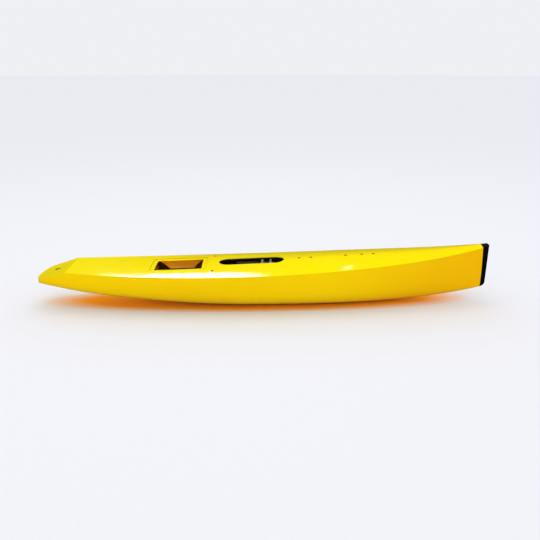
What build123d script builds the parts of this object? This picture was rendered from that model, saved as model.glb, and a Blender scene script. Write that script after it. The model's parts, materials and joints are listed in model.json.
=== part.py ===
"""Bare hull of a one-metre radio-controlled racing yacht, in millimetres.

+X runs to the bow, +Y to port and +Z up. The origin is under the middle of the length, at
the height of the surface that the keel line rests on. Fin, rig, rudder, hatch cover and
radio gear are not fitted: the hull offers the places where they go.
"""

import math
import os

from build123d import *

# ---- Hull lines ----
hull_length = 986.0  # transom to the foot of the stem face that carries the bumper
bumper_length = 10.0  # at the foot of the stem
beam = 165.0
widest_x = -62.0
stem_half_beam = 12.4
stem_rake = 8.0  # how far the head of the stem face stands aft of its foot
stern_half_beam = 41.0  # of the untrimmed form, before the stern is rounded off
sheer_low = 85.4  # height of the deck edge at its lowest
sheer_low_x = -202.0
sheer_bow = 123.6  # height that the main run of the deck edge aims at, at the stem
bow_lift = 4.0  # extra rise of the deck edge at the stem
bow_lift_x = 298.0  # where that rise starts
keel_stern = 55.5  # height of the keel line at the transom
keel_bow = 30.5  # height of the keel line at the stem
keel_flat_aft_x = 18.0
keel_flat_fore_x = 108.0
frame_fullness = 2.3  # exponent of the midship frames, 2 is an ellipse
stem_fullness = 1.7
stern_fullness = 3.0
stern_fullness_x = -252.0  # where the frames start to square up towards the stern
stern_fullness_run = 190.0
rail_rise = 3.0  # the frames turn vertical this far above the deck edge
stern_round = 24.0  # length of the rounded part of the stern, seen from above
crease_inset = 71.0  # transom to the crease where the afterdeck turns down
stern_sheer = 69.6  # height of the drooped afterdeck's edge at the transom
stern_dish = 1.0  # hollow of the afterdeck at the transom

# ---- Deck camber ----
crown_height = 10.2
crown_aft_x = 58.0  # the crown is full from here
crown_fore_x = 168.0  # to here
crown_bow = 4.0
camber_aft = 2.6  # exponent of the camber curve: above 2 is flat-topped, near 1 is ridged
camber_fore = 1.45
camber_aft_x = -202.0
camber_fore_x = 88.0

# ---- Laminates and clearances ----
hull_wall = 1.5
deck_wall = 1.5
bond_gap = 0.15  # glue line between bonded laminates
fit_gap = 0.3  # clearance of loose inner parts against the laminates
hole_gap = 0.1  # radial clearance of a bush in its hole

# ---- Radio hatch and tray ----
hatch_x = -190.0
hatch_length = 103.0
hatch_width = 67.0
hatch_corner = 3.0
rebate_width = 10.0
rebate_depth = 1.2
rebate_lap = 5.0  # bonded overlap of the rebate flange under the deck
hatch_screw_r = 1.1
hatch_screw_inset = 5.0  # edge of the opening to the screw holes
hatch_screw_pitch = 34.0
nut_pad_size = 7.0
nut_pad_thick = 2.5
tray_sheet = 1.5
tray_floor_x = -194.0
tray_floor_length = 54.0
tray_floor_z = 55.5
tray_top_z = 81.0
tray_aft_run = 36.0  # horizontal run of the sloped aft end
tray_fore_run = 30.0
tray_slot_x = -244.5
tray_slot_length = 6.0
tray_slot_y = 32.0
tray_slot_width = 33.0

# ---- Fin and mast well ----
well_x = -30.0
well_length = 144.0
well_width = 43.0
well_floor_z = 52.0
well_wall = 1.2
well_flange = 7.0
well_floor_r = 3.0
fin_slot_x = -21.0
fin_slot_length = 76.0
fin_slot_width = 7.0
fin_box_wall = 1.5
fin_box_top_z = 89.0
cap_thick = 3.0
cap_lap = 2.0  # overhang of the cap round the top of the box
screw_x = 3.5
screw_pitch = 18.0
screw_r = 1.5
screw_head_r = 2.4
screw_head_height = 5.5
screw_length = 20.0
screw_socket_r = 1.3
screw_socket_depth = 2.5
washer_r = 4.0
washer_thick = 0.8
step_x = 28.0
step_length = 14.0
step_width = 22.0
step_thick = 3.0
step_hole_r = 1.25
step_hole_pitch = 4.5
step_screw_r = 1.25
step_screw_head_r = 2.2
step_screw_head_height = 1.4
step_screw_length = 8.0
step_screw_y = 8.0

# ---- Rigging points ----
shroud_x = -114.0
shroud_y = 51.0
bush_bore_r = 1.25
bush_wall = 0.75
bush_lip = 0.6
bush_lip_thick = 0.4
pad_size = 16.0
pad_thick = 3.0
foredeck_holes = (76.0, 102.0, 179.0, 215.0, 241.0)
strip_width = 14.0
strip_margin = 12.0

# ---- Frames across the hull ----
frame_thick = 2.5
frame_rim = 11.0
mast_frame_gap = 2.0  # flange of the well to the mast frame

# ---- Rudder tube ----
rudder_inset = 38.0  # transom to the rudder stock
tube_r = 3.0
tube_wall = 0.5
rudder_bore_r = 1.6
rudder_bush_length = 6.0
rudder_bush_lip = 0.8
rudder_bush_lip_r = 3.4
rudder_tail = 9.0  # stock to the tip of the keeper tongue on the upper bush
rudder_tail_width = 1.8

# ---- Bumper ----
bumper_top_r = 7.0
bumper_foot_r = 12.0
bumper_nose = 12.0  # length of the rounded nose, seen from above

# ---- Derived places ----
overall_length = hull_length + bumper_length
stern_x = -overall_length / 2
stem_x = stern_x + hull_length
bow_x = stern_x + overall_length
stem_height = sheer_bow + bow_lift - keel_bow
crease_x = stern_x + crease_inset
rudder_x = stern_x + rudder_inset
over = 5.0  # how far a cutting form runs past what it cuts
form_top = sheer_bow + bow_lift + crown_height + over
base_z = -over
screw_row_x = hatch_length / 2 + hatch_screw_inset
cap_top_z = fin_box_top_z + cap_thick
strip_start = min(foredeck_holes) - strip_margin
strip_end = max(foredeck_holes) + strip_margin
mast_frame_x = well_x + well_length / 2 + well_wall + well_flange + mast_frame_gap + frame_thick / 2
section_stations = 12


def ramp(value):
    """Smooth cosine step from 0 to 1."""
    return 0.5 - 0.5 * math.cos(math.pi * min(max(value, 0.0), 1.0))


def half_beam(x):
    if x < widest_x:
        share = (widest_x - x) / (widest_x - stern_x)
        return beam / 2 - (beam / 2 - stern_half_beam) * share**1.9
    share = (x - widest_x) / (stem_x - widest_x)
    return beam / 2 - (beam / 2 - stem_half_beam) * share**2.37


def sheer(x):
    """Height of the untrimmed deck edge: a parabola, and a second one that lifts the bow."""
    share = (x - sheer_low_x) / (stem_x - sheer_low_x)
    lift = bow_lift * (max(x - bow_lift_x, 0) / (stem_x - bow_lift_x)) ** 2
    return sheer_low + (sheer_bow - sheer_low) * share**2 + lift


def keel(x):
    if x < keel_flat_aft_x:
        return keel_stern * ((keel_flat_aft_x - x) / (keel_flat_aft_x - stern_x)) ** 2.2
    if x > keel_flat_fore_x:
        return keel_bow * ((x - keel_flat_fore_x) / (stem_x - keel_flat_fore_x)) ** 3
    return 0.0


def fullness(x):
    fore = ramp((x - keel_flat_fore_x) / (stem_x - keel_flat_fore_x))
    aft = ramp((stern_fullness_x - x) / stern_fullness_run)
    change = (stem_fullness - frame_fullness) * fore + (stern_fullness - frame_fullness) * aft
    return frame_fullness + change


def crown(x):
    if x < crown_aft_x:
        return crown_height * ramp((x - crease_x) / (crown_aft_x - crease_x))
    fade = ramp((x - crown_fore_x) / (stem_x - crown_fore_x))
    return crown_height + (crown_bow - crown_height) * fade


def camber(x):
    fade = ramp((x - camber_aft_x) / (camber_fore_x - camber_aft_x))
    return camber_aft + (camber_fore - camber_aft) * fade


def deck_height(x, y):
    """Top of the deck."""
    if x < crease_x:
        share = (crease_x - x) / crease_inset
        hollow = stern_dish * share * (1 - (y / half_beam(x)) ** 2)
        return sheer(crease_x) + (stern_sheer - sheer(crease_x)) * share - hollow
    return sheer(x) + crown(x) * (1 - abs(y / half_beam(x)) ** camber(x))


def deck_plane(x, y):
    """Plane on the deck at x, y with its normal square to the surface."""
    step = 1.0
    slope_x = (deck_height(x + step, y) - deck_height(x - step, y)) / (2 * step)
    slope_y = (deck_height(x, y + step) - deck_height(x, y - step)) / (2 * step)
    return Plane(
        origin=(x, y, deck_height(x, y)), x_dir=(1, 0, slope_x), z_dir=(-slope_x, -slope_y, 1)
    )


def frame_line(x, inset):
    """Points of one hull frame, from the starboard sheer round the keel to port."""
    wide = half_beam(x) - inset
    rail = sheer(x) + rail_rise
    deep = rail - keel(x) - inset
    power = 2 / fullness(x)
    points = []
    for step in range(11):
        angle = math.pi * step / 10
        side = math.cos(angle)
        y = -math.copysign(wide * abs(side) ** power, side)
        points.append((y, rail - deep * math.sin(angle) ** power))
    return points


def stations(first, last, count=section_stations):
    return [first + (last - first) * i / (count - 1) for i in range(count)]


def hull_form(inset):
    """Solid inside the hull surface set in by inset, run on past the deck and the stem."""
    with BuildPart() as form:
        for x in stations(stern_x, bow_x):
            with BuildSketch(Plane.YZ.offset(x)):
                with BuildLine():
                    side = Spline(frame_line(x, inset), tangents=[(0, -1), (0, 1)])
                    Polyline(side @ 1, ((side @ 1).X, form_top), ((side @ 0).X, form_top), side @ 0)
                make_face()
        loft()
        with BuildSketch(Plane.XY.offset(base_z)):
            add(stern_plan(inset))
        extrude(amount=form_top + 2 * over, mode=Mode.INTERSECT)
    return form.part


def stern_plan(inset):
    """Outline from above whose only tight edge is the rounded stern."""
    wide = half_beam(stern_x + stern_round) + bond_gap - inset
    with BuildSketch() as plan:
        with Locations((stern_x + stern_round, 0)):
            Ellipse(stern_round - inset, wide)
        with Locations((stern_x + stern_round, 0)):
            Rectangle(overall_length, beam, align=(Align.MIN, Align.CENTER))
    return plan.sketch


def camber_section(x):
    """Points across the deck at x, a little wider than the hull."""
    wide = half_beam(x)
    spread = (0, 0.2, 0.45, 0.7, 0.9, 1.08)
    shares = [-share for share in reversed(spread[1:])] + list(spread)
    return [
        (share * wide, sheer(x) + crown(x) * (1 - abs(share) ** camber(x))) for share in shares
    ]


def droop_section(x):
    """Points across the drooped afterdeck at x, hollow towards the transom."""
    wide = 1.08 * half_beam(max(x, stern_x))
    return [(y, deck_height(x, y)) for y in (-wide, -wide / 2, 0, wide / 2, wide)]


def deck_mass():
    """Everything lower than the deck's top surface."""
    fore = [(x, camber_section(x)) for x in stations(crease_x, bow_x + over)]
    aft = [(x, droop_section(x)) for x in (stern_x - over, crease_x)]
    with BuildPart() as mass:
        for run in (fore, aft):
            for x, top in run:
                with BuildSketch(Plane.YZ.offset(x)):
                    with BuildLine():
                        line = Spline(top)
                        Polyline(
                            line @ 1, ((line @ 1).X, base_z), ((line @ 0).X, base_z), line @ 0
                        )
                    make_face()
            loft()
    return mass.part


def below_deck(drop):
    """Everything lower than the deck's top surface by more than drop."""
    return under_top.moved(Location((0, 0, -drop)))


def behind_stem(inset):
    """Everything aft of the raked stem face by more than inset."""
    lean = stem_rake / stem_height
    foot = stem_x - inset + lean * (keel_bow - base_z)
    head = stem_x - inset - lean * (form_top - keel_bow)
    with BuildPart() as block:
        with BuildSketch(Plane.XZ.offset(-beam)):
            Polygon(
                (stern_x - over, base_z),
                (foot, base_z),
                (head, form_top),
                (stern_x - over, form_top),
                align=None,
            )
        extrude(amount=2 * beam)
    return block.part


def finish(piece, name):
    """Label a finished piece and write it."""
    piece.part.label = name
    export_step(piece.part, f"parts/{name}.step")


os.makedirs("parts", exist_ok=True)
under_top = deck_mass()
bow_form = hull_form(0)
outer_form = bow_form & behind_stem(0)
inner_form = hull_form(hull_wall) & behind_stem(hull_wall)
loose_form = hull_form(hull_wall + fit_gap) & behind_stem(hull_wall + fit_gap)
inside_space = loose_form & below_deck(deck_wall + fit_gap)

# ---- Sketches shared by pieces that fit each other ----


def well_outline(grow):
    with BuildSketch(mode=Mode.PRIVATE) as outline:
        with Locations((well_x, 0)):
            SlotOverall(well_length + 2 * grow, well_width + 2 * grow)
    return outline.sketch


def box_outline(grow):
    with BuildSketch(mode=Mode.PRIVATE) as outline:
        with Locations((fin_slot_x, 0)):
            SlotOverall(fin_slot_length + 2 * grow, fin_slot_width + 2 * grow)
    return outline.sketch


def hatch_outline(grow):
    with BuildSketch(mode=Mode.PRIVATE) as outline:
        with Locations((hatch_x, 0)):
            RectangleRounded(
                hatch_length + 2 * grow, hatch_width + 2 * grow, hatch_corner + grow / 2
            )
    return outline.sketch


def prism(outline, low, high):
    with BuildPart(mode=Mode.PRIVATE) as body:
        with BuildSketch(Plane.XY.offset(low)):
            add(outline)
        extrude(amount=high - low)
    return body.part


hatch_screw_places = [
    Location((hatch_x + side * screw_row_x, row * hatch_screw_pitch, 0))
    for side in (-1, 1)
    for row in (-1, 0, 1)
]
bush_hole_r = bush_bore_r + bush_wall + hole_gap
shroud_planes = [deck_plane(shroud_x, side * shroud_y) for side in (-1, 1)]
foredeck_planes = [deck_plane(x, 0) for x in foredeck_holes]
rudder_hole_r = tube_r + bond_gap

# ---- Hull shell ----
with BuildPart() as hull_shell:
    add(outer_form)
    add(below_deck(deck_wall + bond_gap), mode=Mode.INTERSECT)
    add(inner_form, mode=Mode.SUBTRACT)
    add(prism(box_outline(fin_box_wall + bond_gap), base_z, well_floor_z), mode=Mode.SUBTRACT)
    with BuildSketch(Plane.XY.offset(base_z)):
        with Locations((rudder_x, 0)):
            Circle(rudder_hole_r)
    extrude(amount=form_top, mode=Mode.SUBTRACT)
finish(hull_shell, "hull_shell")

# ---- Deck with its hatch rebate ----
rebate_flange = prism(hatch_outline(rebate_width + rebate_lap), base_z, form_top)
rebate_flange = rebate_flange & below_deck(rebate_depth)
rebate_flange = rebate_flange - below_deck(rebate_depth + deck_wall)
rebate_cut = prism(hatch_outline(rebate_width), base_z, form_top) - below_deck(rebate_depth)
with BuildPart() as deck:
    add(outer_form)
    add(under_top, mode=Mode.INTERSECT)
    add(below_deck(deck_wall), mode=Mode.SUBTRACT)
    add(rebate_cut, mode=Mode.SUBTRACT)
    add(rebate_flange)
    add(prism(hatch_outline(0), base_z, form_top), mode=Mode.SUBTRACT)
    add(prism(well_outline(0), base_z, form_top), mode=Mode.SUBTRACT)
    with BuildSketch(Plane.XY.offset(base_z)):
        with Locations(*hatch_screw_places):
            Circle(hatch_screw_r)
        with Locations((rudder_x, 0)):
            Circle(rudder_hole_r)
    extrude(amount=form_top + over, mode=Mode.SUBTRACT)
    for place in shroud_planes + foredeck_planes:
        with BuildSketch(place):
            Circle(bush_hole_r)
        extrude(amount=over, both=True, mode=Mode.SUBTRACT)
finish(deck, "deck")

# ---- Bow bumper: rubber nose that carries the hull lines on past the stem face ----
bumper_top_z = deck_height(bow_x, 0)
bumper_back_x = stem_x - 2 * stem_rake
with BuildPart() as bumper:
    add(bow_form)
    add(under_top, mode=Mode.INTERSECT)
    add(behind_stem(-bond_gap), mode=Mode.SUBTRACT)
    with BuildSketch(Plane.XZ.offset(-beam)) as bumper_side:
        with Locations((bumper_back_x, keel_bow)):
            Rectangle(
                bow_x - bumper_back_x, bumper_top_z - keel_bow, align=(Align.MIN, Align.MIN)
            )
        front = bumper_side.vertices().group_by(Axis.X)[-1].sort_by(Axis.Y)
        fillet(front[0], bumper_foot_r)
        front = bumper_side.vertices().group_by(Axis.X)[-1].sort_by(Axis.Y)
        fillet(front[-1], bumper_top_r)
    extrude(amount=2 * beam, mode=Mode.INTERSECT)
    with BuildSketch(Plane.XY.offset(base_z)):
        with Locations((bow_x - bumper_nose, 0)):
            Ellipse(bumper_nose, half_beam(bow_x - bumper_nose) + bond_gap)
            Rectangle(4 * bumper_nose, beam, align=(Align.MAX, Align.CENTER))
    extrude(amount=form_top + over, mode=Mode.INTERSECT)
finish(bumper, "bow_bumper")

# ---- Fin and mast well: a tub let in under the deck, pierced for the fin box ----
flange_drop = deck_wall + bond_gap
tub_wall = prism(well_outline(well_wall), well_floor_z - well_wall, form_top)
tub_flange = prism(well_outline(well_wall + well_flange), base_z, form_top)
tub_flange = tub_flange - below_deck(flange_drop + well_wall)
with BuildPart() as tub_hollow:
    with BuildSketch(Plane.XY.offset(well_floor_z)):
        add(well_outline(0))
    extrude(amount=form_top)
    fillet(tub_hollow.edges().group_by(Axis.Z)[0], well_floor_r)
with BuildPart() as well:
    add(tub_wall)
    add(tub_flange)
    add(below_deck(flange_drop), mode=Mode.INTERSECT)
    add(tub_hollow.part, mode=Mode.SUBTRACT)
    add(prism(box_outline(fin_box_wall + bond_gap), base_z, form_top), mode=Mode.SUBTRACT)
    with BuildSketch(Plane.XY.offset(base_z)):
        with Locations(*[(step_x, side * step_screw_y) for side in (-1, 1)]):
            Circle(step_screw_r + hole_gap)
    extrude(amount=form_top, mode=Mode.SUBTRACT)
finish(well, "fin_mast_well")

# ---- Fin box: a trunk from the hull bottom up to just under the deck ----
with BuildPart() as fin_box:
    add(prism(box_outline(fin_box_wall), base_z, fin_box_top_z))
    add(outer_form, mode=Mode.INTERSECT)
    add(prism(box_outline(0), base_z, fin_box_top_z + over), mode=Mode.SUBTRACT)
finish(fin_box, "fin_box")

screw_places = [(screw_x + side * screw_pitch / 2, 0) for side in (-1, 1)]
with BuildPart() as fin_box_cap:
    add(prism(box_outline(fin_box_wall + cap_lap), fin_box_top_z, cap_top_z))
    chamfer(fin_box_cap.edges().group_by(Axis.Z)[-1], cap_thick / 4)
    with BuildSketch(Plane.XY.offset(fin_box_top_z)):
        with Locations(*screw_places):
            Circle(screw_r + hole_gap)
    extrude(amount=cap_thick, mode=Mode.SUBTRACT)
finish(fin_box_cap, "fin_box_cap")

with BuildPart() as fin_washers:
    with BuildSketch(Plane.XY.offset(cap_top_z)):
        with Locations(*screw_places):
            Circle(washer_r)
            Circle(screw_r + hole_gap, mode=Mode.SUBTRACT)
    extrude(amount=washer_thick)
finish(fin_washers, "fin_screw_washers")

# ---- Fin screws: tall socket heads standing just under the deck line ----
head_base_z = cap_top_z + washer_thick
head_top_z = head_base_z + screw_head_height
with BuildPart() as fin_screws:
    with BuildSketch(Plane.XY.offset(head_base_z)):
        with Locations(*screw_places):
            Circle(screw_head_r)
    extrude(amount=screw_head_height)
    chamfer(fin_screws.edges().group_by(Axis.Z)[-1], screw_head_r / 8)
    with BuildSketch(Plane.XY.offset(head_base_z)):
        with Locations(*screw_places):
            Circle(screw_r)
    extrude(amount=-screw_length)
    with BuildSketch(Plane.XY.offset(head_top_z)):
        with Locations(*screw_places):
            RegularPolygon(screw_socket_r, 6)
    extrude(amount=-screw_socket_depth, mode=Mode.SUBTRACT)
finish(fin_screws, "fin_screws")

# ---- Mast step on the well floor, with its two screws ----
step_top_z = well_floor_z + step_thick
step_screw_places = [(step_x, side * step_screw_y) for side in (-1, 1)]
with BuildPart() as mast_step:
    with BuildSketch(Plane.XY.offset(well_floor_z)):
        with Locations((step_x, 0)):
            RectangleRounded(step_length, step_width, step_thick / 2)
        with Locations(*[(step_x + row * step_hole_pitch, 0) for row in (-1, 0, 1)]):
            Circle(step_hole_r, mode=Mode.SUBTRACT)
        with Locations(*step_screw_places):
            Circle(step_screw_r + hole_gap, mode=Mode.SUBTRACT)
    extrude(amount=step_thick)
finish(mast_step, "mast_step_plate")

with BuildPart() as step_screws:
    with BuildSketch(Plane.XY.offset(step_top_z)):
        with Locations(*step_screw_places):
            Circle(step_screw_head_r)
    extrude(amount=step_screw_head_height)
    chamfer(step_screws.edges().group_by(Axis.Z)[-1], step_screw_head_height / 3)
    with BuildSketch(Plane.XY.offset(step_top_z)):
        with Locations(*step_screw_places):
            Circle(step_screw_r)
    extrude(amount=-step_screw_length)
finish(step_screws, "mast_step_screws")

# ---- Radio tray: one bent sheet across the hull under the hatch ----
floor_aft_x = tray_floor_x - tray_floor_length / 2
floor_fore_x = tray_floor_x + tray_floor_length / 2
with BuildPart() as tray:
    with BuildSketch(Plane.XZ.offset(-beam)):
        with BuildLine() as bend:
            Polyline(
                (floor_aft_x - tray_aft_run, tray_top_z),
                (floor_aft_x, tray_floor_z),
                (floor_fore_x, tray_floor_z),
                (floor_fore_x + tray_fore_run, tray_top_z),
            )
            offset(amount=tray_sheet, side=Side.RIGHT)
        make_face()
    extrude(amount=2 * beam)
    add(inside_space, mode=Mode.INTERSECT)
    with BuildSketch(Plane.XY.offset(base_z)):
        with Locations((tray_slot_x, tray_slot_y)):
            RectangleRounded(tray_slot_length, tray_slot_width, tray_slot_length / 3)
    extrude(amount=form_top, mode=Mode.SUBTRACT)
finish(tray, "rc_tray")

# ---- Nut pads bonded under the rebate flange ----
pad_drop = rebate_depth + deck_wall + bond_gap
pad_blocks = Part() + [
    place * Box(nut_pad_size, nut_pad_size, 2 * form_top) for place in hatch_screw_places
]
with BuildPart() as nut_pads:
    add(pad_blocks)
    add(below_deck(pad_drop), mode=Mode.INTERSECT)
    add(below_deck(pad_drop + nut_pad_thick), mode=Mode.SUBTRACT)
    with BuildSketch(Plane.XY.offset(base_z)):
        with Locations(*hatch_screw_places):
            Circle(hatch_screw_r)
    extrude(amount=form_top, mode=Mode.SUBTRACT)
finish(nut_pads, "hatch_nut_pads")


def deck_pads(outline, thick, planes):
    """Backing bonded under the deck inside outline, bored for the bushes."""
    with BuildPart() as pads:
        add(prism(outline, base_z, form_top))
        add(below_deck(deck_wall + bond_gap), mode=Mode.INTERSECT)
        add(below_deck(deck_wall + bond_gap + thick), mode=Mode.SUBTRACT)
        add(loose_form, mode=Mode.INTERSECT)
        for place in planes:
            with BuildSketch(place):
                Circle(bush_hole_r)
            extrude(amount=2 * (deck_wall + thick), both=True, mode=Mode.SUBTRACT)
    return pads


def deck_bushes(planes, thick):
    """Lipped bushes, each square to the deck, as deep as the deck and its backing."""
    with BuildPart() as bushes:
        for place in planes:
            with BuildSketch(place.offset(hole_gap)):
                Circle(bush_bore_r + bush_wall + bush_lip)
            extrude(amount=bush_lip_thick)
            with BuildSketch(place.offset(hole_gap)):
                Circle(bush_bore_r + bush_wall)
            extrude(amount=-(deck_wall + bond_gap + thick))
            with BuildSketch(place.offset(over)):
                Circle(bush_bore_r)
            extrude(amount=-4 * over, mode=Mode.SUBTRACT)
    return bushes


# ---- Shroud points ----
with BuildSketch() as shroud_pad_outline:
    with Locations(*[(shroud_x, side * shroud_y) for side in (-1, 1)]):
        RectangleRounded(pad_size, pad_size, pad_thick / 2)
shroud_pads = deck_pads(shroud_pad_outline.sketch, pad_thick, shroud_planes)
finish(shroud_pads, "shroud_pads")
finish(deck_bushes(shroud_planes, pad_thick), "shroud_bushes")

# ---- Foredeck row of jib points ----
with BuildSketch() as strip_outline:
    with Locations(((strip_start + strip_end) / 2, 0)):
        SlotOverall(strip_end - strip_start, strip_width)
finish(deck_pads(strip_outline.sketch, pad_thick, foredeck_planes), "foredeck_strip")
finish(deck_bushes(foredeck_planes, pad_thick), "foredeck_bushes")


def ring_frame(x, clear_of):
    """Plywood ring across the hull at x, notched round what it passes."""
    rim = hull_wall + fit_gap + frame_rim
    with BuildPart() as ring:
        with BuildSketch(Plane.YZ.offset(x - frame_thick / 2)):
            Rectangle(beam, 2 * form_top)
            with BuildSketch(mode=Mode.PRIVATE) as window:
                with BuildLine():
                    side = Spline(frame_line(x, rim))
                    Line(side @ 1, side @ 0)
                make_face()
                with Locations((0, sheer(x) - deck_wall - frame_rim)):
                    Rectangle(beam, form_top, align=(Align.CENTER, Align.MAX), mode=Mode.INTERSECT)
            add(window.sketch, mode=Mode.SUBTRACT)
        extrude(amount=frame_thick)
        add(inside_space, mode=Mode.INTERSECT)
        for obstacle in clear_of:
            add(obstacle, mode=Mode.SUBTRACT)
    return ring


pad_notches = prism(shroud_pad_outline.sketch, base_z, form_top) - below_deck(
    deck_wall + pad_thick + fit_gap + bond_gap
)
finish(ring_frame(shroud_x, [pad_notches]), "shroud_frame")
finish(ring_frame(mast_frame_x, []), "mast_frame")

# ---- Rudder tube with its two bushes ----
stock_foot_z = keel(rudder_x)
stock_head_z = deck_height(rudder_x, 0)
with BuildPart() as rudder_tube:
    with BuildSketch(Plane.XY.offset(base_z)):
        with Locations((rudder_x, 0)):
            Circle(tube_r)
            Circle(tube_r - tube_wall, mode=Mode.SUBTRACT)
    extrude(amount=form_top)
    add(outer_form, mode=Mode.INTERSECT)
    add(under_top, mode=Mode.INTERSECT)
finish(rudder_tube, "rudder_tube")

rudder_plug_r = tube_r - tube_wall - hole_gap
head_plane = deck_plane(rudder_x, 0)
with BuildPart() as upper_bush:
    with BuildSketch(head_plane.offset(hole_gap)):
        Circle(rudder_bush_lip_r)
        SlotCenterPoint(
            (rudder_tail / 2, 0), (rudder_tail - rudder_tail_width / 2, 0), rudder_tail_width
        )
    extrude(amount=rudder_bush_lip)
    with BuildSketch(Plane.XY.offset(stock_head_z)):
        with Locations((rudder_x, 0)):
            Circle(rudder_plug_r)
    extrude(amount=-rudder_bush_length)
    with BuildSketch(Plane.XY.offset(form_top)):
        with Locations((rudder_x, 0)):
            Circle(rudder_bore_r)
    extrude(amount=-form_top, mode=Mode.SUBTRACT)
finish(upper_bush, "rudder_upper_bush")

with BuildPart() as lower_bush:
    with BuildSketch(Plane.XY.offset(base_z)):
        with Locations((rudder_x, 0)):
            Circle(rudder_plug_r)
            Circle(rudder_bore_r, mode=Mode.SUBTRACT)
    extrude(amount=stock_foot_z + rudder_bush_length - base_z)
    add(outer_form, mode=Mode.INTERSECT)
finish(lower_bush, "rudder_lower_bush")
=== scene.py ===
"""Bare yellow hull of a one-metre model racing yacht, in metres.

The CAD nodes keep their shapes. This script gives each its material, from the record's slots,
and sets the hull on pale paper under soft light, with a camera on its starboard side.
"""

import json
import math

import bmesh
import bpy
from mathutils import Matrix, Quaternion, Vector


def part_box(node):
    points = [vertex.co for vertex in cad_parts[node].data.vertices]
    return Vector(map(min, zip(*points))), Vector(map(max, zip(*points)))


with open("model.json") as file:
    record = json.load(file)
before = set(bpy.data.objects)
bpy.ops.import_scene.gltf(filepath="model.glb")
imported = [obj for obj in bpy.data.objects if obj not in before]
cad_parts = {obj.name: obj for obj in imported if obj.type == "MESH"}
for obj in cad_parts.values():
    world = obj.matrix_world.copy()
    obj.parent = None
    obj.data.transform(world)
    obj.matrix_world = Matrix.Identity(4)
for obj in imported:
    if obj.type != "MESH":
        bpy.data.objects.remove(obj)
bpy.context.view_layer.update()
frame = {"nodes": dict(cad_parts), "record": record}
scene = bpy.context.scene
millimetre = 0.001

# ---- Paper, with a painted warm shadow under the hull, standing for the laminate's light on it ----
paper_radius = 60.0
paper_tones = ((0.775, 0.78, 0.80), (0.795, 0.80, 0.82))
painted_shadow_tone = (1.0, 0.44, 0.035)
painted_shadow_length = 0.505  # shares of the hull's length and width that the patch reaches either way
painted_shadow_width = 0.47
painted_shadow_core = 0.78  # share of that reach where the patch begins to fade
painted_shadow_shift = 0.012  # aft and to port

# ---- Even light from all round ----
wall_tint = (0.955, 0.96, 1.0)
wall_level = 0.905  # as a backdrop
dome_light = 1.10  # as light on matt surfaces
dome_gloss = 0.03  # as a reflection

# ---- Lamps ----
amber_light = (1.0, 0.60, 0.02)
strip_x = -0.582  # the strips hang one each side of the hull
strip_out = 1.8
strip_rise = 1.49
strip_size = (1.22, 0.45)
strip_power = 20
strip_roll = -45  # degrees

# ---- Camera, in degrees and millimetres of lens ----
camera_place = (-0.0187, -1.2023, 0.4959)
camera_pitch = 70.665
camera_turn = -1.422
camera_lens = 38.0

# ---- Surfaces ----
# reach and tone of the painted shade in the gelcoat's corners and crevices
painted_shade_reach = 2.5 * millimetre
painted_crevice_shade = (0.30, 0.13, 0.0)
cloth_pitch = 1.6 * millimetre
ply_thickness = 0.8 * millimetre


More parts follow.
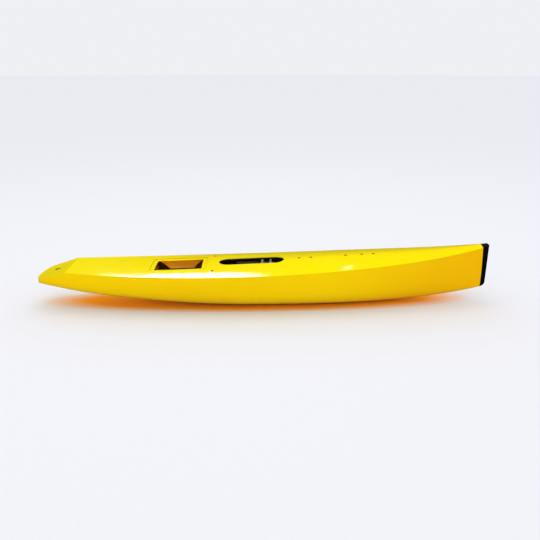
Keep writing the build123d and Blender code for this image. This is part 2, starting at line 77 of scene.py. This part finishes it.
class Shading:
    """One node material, built by short calls."""

    def __init__(self, name):
        self.material = bpy.data.materials.new(name)
        self.material.use_nodes = True
        self.tree = self.material.node_tree
        self.surface = self.tree.nodes["Principled BSDF"]
        self.place = self.add("ShaderNodeTexCoord").outputs["Object"]
        self.normal = self.add("ShaderNodeNewGeometry").outputs["Normal"]

    def add(self, kind, settings=None, **inputs):
        node = self.tree.nodes.new(kind)
        for name, value in (settings or {}).items():
            setattr(node, name, value)
        for name, value in inputs.items():
            self.set(node, name.replace("_", " "), value)
        return node

    def set(self, node, name, value):
        socket = node.inputs[int(name) if name.isdigit() else name]
        if isinstance(value, bpy.types.NodeSocket):
            self.tree.links.new(value, socket)
        else:
            socket.default_value = value

    def base(self, **inputs):
        for name, value in inputs.items():
            self.set(self.surface, name.replace("_", " "), value)

    def noise(self, scale, detail, rough=0.5, stretch=(1, 1, 1)):
        """Cloudy pattern, finer along an axis with a larger stretch."""
        mapping = self.add("ShaderNodeMapping", Vector=self.place, Scale=stretch)
        texture = self.add(
            "ShaderNodeTexNoise",
            Vector=mapping.outputs["Vector"],
            Scale=scale,
            Detail=detail,
            Roughness=rough,
        )
        return texture.outputs["Fac"]

    def waves(self, period, direction, wobble=0.0):
        """Parallel bands. At a scale of 1 those along an axis lie pi / 10 apart."""
        texture = self.add(
            "ShaderNodeTexWave",
            {"bands_direction": direction},
            Vector=self.place,
            Scale=math.pi / 10 / period,
            Distortion=wobble,
            Detail=1.0,
        )
        return texture.outputs["Fac"]

    def math(self, operation, a, b=0.0):
        node = self.add("ShaderNodeMath", {"operation": operation})
        self.set(node, "0", a)
        self.set(node, "1", b)
        return node.outputs[0]

    def vector(self, operation, a, b=(0, 0, 0)):
        node = self.add("ShaderNodeVectorMath", {"operation": operation})
        self.set(node, "0", a)
        self.set(node, "1", b)
        return node.outputs

    def between(self, factor, low, high, start=0.0, end=1.0):
        """Factor's stretch from start to end, spread from low to high."""
        node = self.add(
            "ShaderNodeMapRange", Value=factor, From_Min=start, From_Max=end, To_Min=low, To_Max=high
        )
        return node.outputs["Result"]

    def choose(self, mask, outside, inside):
        """Number where the mask is 0 and number where it is 1."""
        node = self.add("ShaderNodeMix", {"data_type": "FLOAT"})
        for name, value in (("0", mask), ("2", outside), ("3", inside)):
            self.set(node, name, value)
        return node.outputs[0]

    def blend(self, factor, first, second):
        """Mix of two colours."""
        node = self.add("ShaderNodeMix", {"data_type": "RGBA"})
        self.tree.links.new(factor, node.inputs["Factor"])
        for socket, value in ((node.inputs[6], first), (node.inputs[7], second)):
            if isinstance(value, bpy.types.NodeSocket):
                self.tree.links.new(value, socket)
            else:
                socket.default_value = (*value, 1)
        return node.outputs[2]

    def relief(self, height, depth, edge=0.5 * millimetre):
        """Bump of that depth over edges softened by edge."""
        soft = self.add("ShaderNodeBevel", {"samples": 4}, Radius=edge).outputs["Normal"]
        bump = self.add("ShaderNodeBump", Height=height, Distance=depth, Strength=1.0, Normal=soft)
        return bump.outputs["Normal"]


def laminate(s):
    """Colour, roughness and weave of bare glass cloth in amber resin."""
    warp = s.waves(cloth_pitch, "X", 0.4)
    weft = s.waves(cloth_pitch, "Y", 0.4)
    cloth = s.math("MAXIMUM", warp, weft)
    resin = s.noise(22.0, 5.0)
    amber = s.blend(s.between(resin, 0, 1, 0.3, 0.7), (0.72, 0.38, 0.004), (0.86, 0.50, 0.008))
    amber = s.blend(s.between(cloth, 0.3, 0), amber, (0.50, 0.24, 0.002))
    return amber, s.between(resin, 0.3, 0.5), cloth


def gelcoat(name, node, light, deep, painted_bow_shade, inner_mask):
    """Polished pigmented gelcoat outside, bare amber laminate inside."""
    s = Shading(name)
    # Cloudy pigment with fine dark specks, and painted shade that deepens it towards the bow and in
    # the corners.
    cloud = s.noise(7.0, 4.0)
    pigment = s.blend(s.between(cloud, 0, 1, 0.35, 0.65), deep, light)
    along = s.add("ShaderNodeSeparateXYZ", Vector=s.place).outputs["X"]
    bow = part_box(node)[1].x
    # painted shade: the colour deepens towards the bow
    pigment = s.blend(s.between(along, 0, 1, bow * 0.3, bow), pigment, painted_bow_shade)
    grain = s.noise(1500.0, 2.0)
    speck = tuple(0.8 * level for level in deep)
    pigment = s.blend(s.between(grain, 0, 0.06, 0.4, 0.8), pigment, speck)
    # painted shade: the pigment darkens in corners, creases and around holes
    corner = s.add("ShaderNodeAmbientOcclusion", {"samples": 8}, Distance=painted_shade_reach)
    pigment = s.blend(s.between(corner.outputs["AO"], 1, 0, 0.3, 0.88), pigment, painted_crevice_shade)

    # Polish broken by lengthwise scuffs, over orange peel.
    scuffs = s.noise(38.0, 6.0, 0.65, (1, 6, 6))
    polish = s.between(scuffs, 0.07, 0.2, 0.52, 0.75)
    peel = s.math("MULTIPLY", s.noise(260.0, 2.0), 0.15)

    inner = inner_mask(s)
    amber, matt, cloth = laminate(s)
    s.base(
        Base_Color=s.blend(inner, pigment, amber),
        Roughness=s.choose(inner, polish, matt),
        Normal=s.relief(s.choose(inner, peel, cloth), 0.08 * millimetre),
        Specular_IOR_Level=0.4,
    )
    return s.material


def inside_of_shell(s):
    """1 where the surface faces a lengthwise line high in the middle of the shell."""
    middle = (0, 0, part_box("hull_shell")[1].z * 0.7)
    away = s.vector("SUBTRACT", s.place, middle)["Vector"]
    across = s.vector("MULTIPLY", away, (0, 1, 1))["Vector"]
    facing = s.vector("DOT_PRODUCT", across, s.normal)["Value"]
    return s.math("LESS_THAN", facing, 0.0)


def underside(s):
    """1 where the surface faces down."""
    parts = s.add("ShaderNodeSeparateXYZ", Vector=s.normal)
    return s.math("LESS_THAN", parts.outputs["Z"], -0.3)


def rubber(name):
    """Black elastomer with a pebbled, scuffed skin."""
    s = Shading(name)
    pebble = s.noise(900.0, 3.0)
    scuffs = s.noise(60.0, 6.0, 0.7)
    wear = s.between(scuffs, 0, 1, 0.55, 0.8)
    s.base(
        Base_Color=s.blend(wear, (0.002, 0.002, 0.002), (0.009, 0.009, 0.01)),
        Roughness=s.between(scuffs, 0.45, 0.75),
        Normal=s.relief(pebble, 0.02 * millimetre, 1.2 * millimetre),
        Specular_IOR_Level=0.25,
    )
    return s.material


def weave(name, dark, bright, roughness, period, specular):
    """Black cloth laminate with a slanting weave under its resin."""
    s = Shading(name)
    cloth = s.math("MULTIPLY", s.waves(period, "DIAGONAL"), s.waves(period, "X"))
    resin = s.noise(90.0, 4.0)
    s.base(
        Base_Color=s.blend(cloth, dark, bright),
        Roughness=s.between(resin, roughness, roughness + 0.2),
        Normal=s.relief(cloth, 0.02 * millimetre),
        Specular_IOR_Level=specular,
    )
    return s.material


def moulded(name):
    """Black plastic with a fine grain."""
    s = Shading(name)
    grain = s.noise(1400.0, 2.0)
    s.base(
        Base_Color=s.blend(s.noise(120.0, 4.0), (0.012, 0.012, 0.013), (0.03, 0.03, 0.032)),
        Roughness=s.between(grain, 0.35, 0.6),
        Normal=s.relief(grain, 0.01 * millimetre, 0.2 * millimetre),
    )
    return s.material


def metal(name, bright, dull, roughness, stretch, metallic):
    """Metal with fine tool marks drawn out along one axis."""
    s = Shading(name)
    marks = s.noise(700.0, 4.0, 0.6, stretch)
    stain = s.noise(80.0, 4.0)
    s.base(
        Base_Color=s.blend(stain, bright, dull),
        Metallic=metallic,
        Roughness=s.between(marks, roughness, roughness + 0.2),
        Normal=s.relief(marks, 0.006 * millimetre, 0.15 * millimetre),
    )
    return s.material


def plywood(name):
    """Birch ply: long grain on the faces and the plies on the cut edges of the frames."""
    s = Shading(name)
    grain = s.noise(70.0, 6.0, 0.7, (4, 0.35, 4))
    face = s.blend(s.between(grain, 0, 1, 0.3, 0.7), (0.52, 0.34, 0.17), (0.72, 0.54, 0.32))
    plies = s.waves(ply_thickness, "X", 0.3)
    edge = s.blend(plies, (0.28, 0.16, 0.07), (0.66, 0.48, 0.27))
    parts = s.add("ShaderNodeSeparateXYZ", Vector=s.normal)
    flat = s.math("GREATER_THAN", s.math("ABSOLUTE", parts.outputs["X"]), 0.7)
    s.base(
        Base_Color=s.blend(flat, edge, face),
        Roughness=0.6,
        Normal=s.relief(grain, 0.05 * millimetre, 0.2 * millimetre),
    )
    return s.material


finishes = {
    # One yellow gelcoat in two tones: the deck is painted lighter for the light on top, the hull
    # sides deeper for their shade.
    "yellow_hull": gelcoat(
        "yellow_hull",
        "hull_shell",
        light=(1.0, 0.67, 0.0),
        deep=(0.98, 0.63, 0.0),
        painted_bow_shade=(0.95, 0.50, 0.0),
        inner_mask=inside_of_shell,
    ),
    "yellow_deck": gelcoat(
        "yellow_deck",
        "deck",
        light=(1.0, 0.82, 0.0),
        deep=(1.0, 0.79, 0.0),
        painted_bow_shade=(1.0, 0.77, 0.0),
        inner_mask=underside,
    ),
    "black_rubber": rubber("black_rubber"),
    "black_laminate": weave(
        "black_laminate",
        dark=(0.003, 0.003, 0.0032),
        bright=(0.012, 0.012, 0.013),
        roughness=0.18,
        period=2.0 * millimetre,
        specular=0.4,
    ),
    "black_sheet": weave(
        "black_sheet",
        dark=(0.0004, 0.0004, 0.0004),
        bright=(0.0014, 0.0014, 0.0015),
        roughness=0.42,
        period=0.9 * millimetre,
        specular=0.12,
    ),
    "black_plastic": moulded("black_plastic"),
    "stainless": metal(
        "stainless",
        bright=(0.80, 0.81, 0.83),
        dull=(0.66, 0.67, 0.69),
        roughness=0.2,
        stretch=(1, 1, 0.1),
        metallic=0.7,
    ),
    "anodised": metal(
        "anodised",
        bright=(0.35, 0.36, 0.38),
        dull=(0.28, 0.29, 0.31),
        roughness=0.35,
        stretch=(0.1, 1, 1),
        metallic=0.8,
    ),
    "plywood": plywood("plywood"),
    "brass": metal(
        "brass",
        bright=(0.80, 0.58, 0.25),
        dull=(0.62, 0.42, 0.16),
        roughness=0.22,
        stretch=(1, 1, 0.1),
        metallic=0.8,
    ),
}
for row in frame["record"]["subparts"]:
    mesh = frame["nodes"][row["node"]].data
    mesh.materials.clear()
    mesh.materials.append(finishes[row["material_slot"]])


def paper_shading():
    """Pale fibrous paper, with a painted warm shadow in an oval under the hull."""
    s = Shading("paper")
    fibres = s.noise(160.0, 5.0)
    low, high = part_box("hull_shell")
    footprint = s.add(
        "ShaderNodeMapping",
        {"vector_type": "TEXTURE"},
        Vector=s.place,
        Location=((low.x + high.x) / 2 - painted_shadow_shift, painted_shadow_shift, 0),
        Scale=((high.x - low.x) * painted_shadow_length, (high.y - low.y) * painted_shadow_width, 1),
    )
    reach = s.vector("LENGTH", footprint.outputs["Vector"])["Value"]
    # painted shadow: the paper turns warm and darker in an oval under the hull
    painted_shadow = s.between(reach, 1, 0, painted_shadow_core, 1)
    s.base(
        Base_Color=s.blend(painted_shadow, s.blend(fibres, *paper_tones), painted_shadow_tone),
        Roughness=0.9,
        Normal=s.relief(fibres, 0.02 * millimetre),
        Specular_IOR_Level=0.0,
    )
    return s.material


def paper():
    """A wide round sheet under the hull, unseen in the gloss."""
    sheet = bmesh.new()
    bmesh.ops.create_circle(sheet, cap_ends=True, segments=96, radius=paper_radius)
    mesh = bpy.data.meshes.new("paper")
    sheet.to_mesh(mesh)
    sheet.free()
    mesh.materials.append(paper_shading())
    floor = bpy.data.objects.new("paper", mesh)
    floor.visible_glossy = False
    scene.collection.objects.link(floor)


def dome():
    """Even light from all round, seen as a pale wall and only faintly in the gloss."""
    world = bpy.data.worlds.new("studio")
    scene.world = world
    world.use_nodes = True
    tree = world.node_tree
    light = tree.nodes["Background"]
    light.inputs["Color"].default_value = (*wall_tint, 1)
    rays = tree.nodes.new("ShaderNodeLightPath")
    level = tree.nodes.new("ShaderNodeMapRange")
    level.inputs["To Min"].default_value = dome_light
    level.inputs["To Max"].default_value = dome_gloss
    tree.links.new(rays.outputs["Is Glossy Ray"], level.inputs["Value"])
    seen = tree.nodes.new("ShaderNodeMapRange")
    seen.inputs["To Max"].default_value = wall_level
    tree.links.new(rays.outputs["Is Camera Ray"], seen.inputs["Value"])
    tree.links.new(level.outputs["Result"], seen.inputs["To Min"])
    tree.links.new(seen.outputs["Result"], light.inputs["Strength"])


def softbox(name, place, aim, size, power, tint=(1, 1, 1), rays="all", roll=0.0):
    """Rectangular lamp of that many watts, seen by all rays, only "gloss" or only "diffuse"."""
    light = bpy.data.lights.new(name, "AREA")
    light.shape = "RECTANGLE"
    light.size, light.size_y = size
    light.energy = power
    light.color = tint
    lamp = bpy.data.objects.new(name, light)
    lamp.location = place
    facing = (Vector(aim) - Vector(place)).to_track_quat("-Z", "Y")
    lamp.rotation_euler = (facing @ Quaternion((0, 0, 1), math.radians(roll))).to_euler()
    lamp.visible_diffuse = rays != "gloss"
    lamp.visible_glossy = rays != "diffuse"
    lamp.visible_camera = False
    scene.collection.objects.link(lamp)


def strips():
    """A long highlight along each side of the hull."""
    for side, name in ((1, "port"), (-1, "starboard")):
        softbox(
            f"strip_{name}",
            place=(strip_x, side * strip_out, strip_rise),
            aim=(strip_x, 0, strip_rise),
            size=strip_size,
            power=strip_power,
            rays="gloss",
            roll=strip_roll * side,
        )


def laminate_glow():
    """Warm light that the thin laminate lets through, above the radio tray and below it."""
    low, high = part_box("rc_tray")
    middle = (low.x + high.x) / 2
    side_y = low.y * 0.8
    side_z = (low.z + high.z) / 2
    softbox(
        "glow_bay",
        place=(middle, side_y, side_z),
        aim=(middle, -side_y, side_z),
        size=(0.09, 0.012),
        power=0.10,
        tint=amber_light,
        rays="diffuse",
    )
    softbox(
        "glow_slot",
        place=(low.x, 0, low.z - 2 * millimetre),
        aim=(low.x, 0, 0),
        size=(0.03, 0.06),
        power=0.05,
        tint=amber_light,
        rays="diffuse",
    )


paper()
dome()
softbox("overhead", place=(-0.1, 0.1, 2.2), aim=(0, 0, 0), size=(1.6, 1.2), power=6)
strips()
softbox(
    "crown",
    place=(0.0, 0.35, 2.4),
    aim=(0.0, 0.0, 0.1),
    size=(1.5, 0.25),
    power=5,
    rays="gloss",
)
softbox(
    "spot",
    place=(0.455, 1.8, 1.68),
    aim=(0.15, 0.0, 0.1),
    size=(0.06, 0.07),
    power=0.05,
    rays="gloss",
)
laminate_glow()

camera = bpy.data.objects.new("camera", bpy.data.cameras.new("camera"))
camera.data.lens = camera_lens
camera.location = camera_place
camera.rotation_euler = (math.radians(camera_pitch), 0.0, math.radians(camera_turn))
scene.collection.objects.link(camera)
scene.camera = camera
scene.view_settings.view_transform = "Standard"  # keeps the saturated yellow
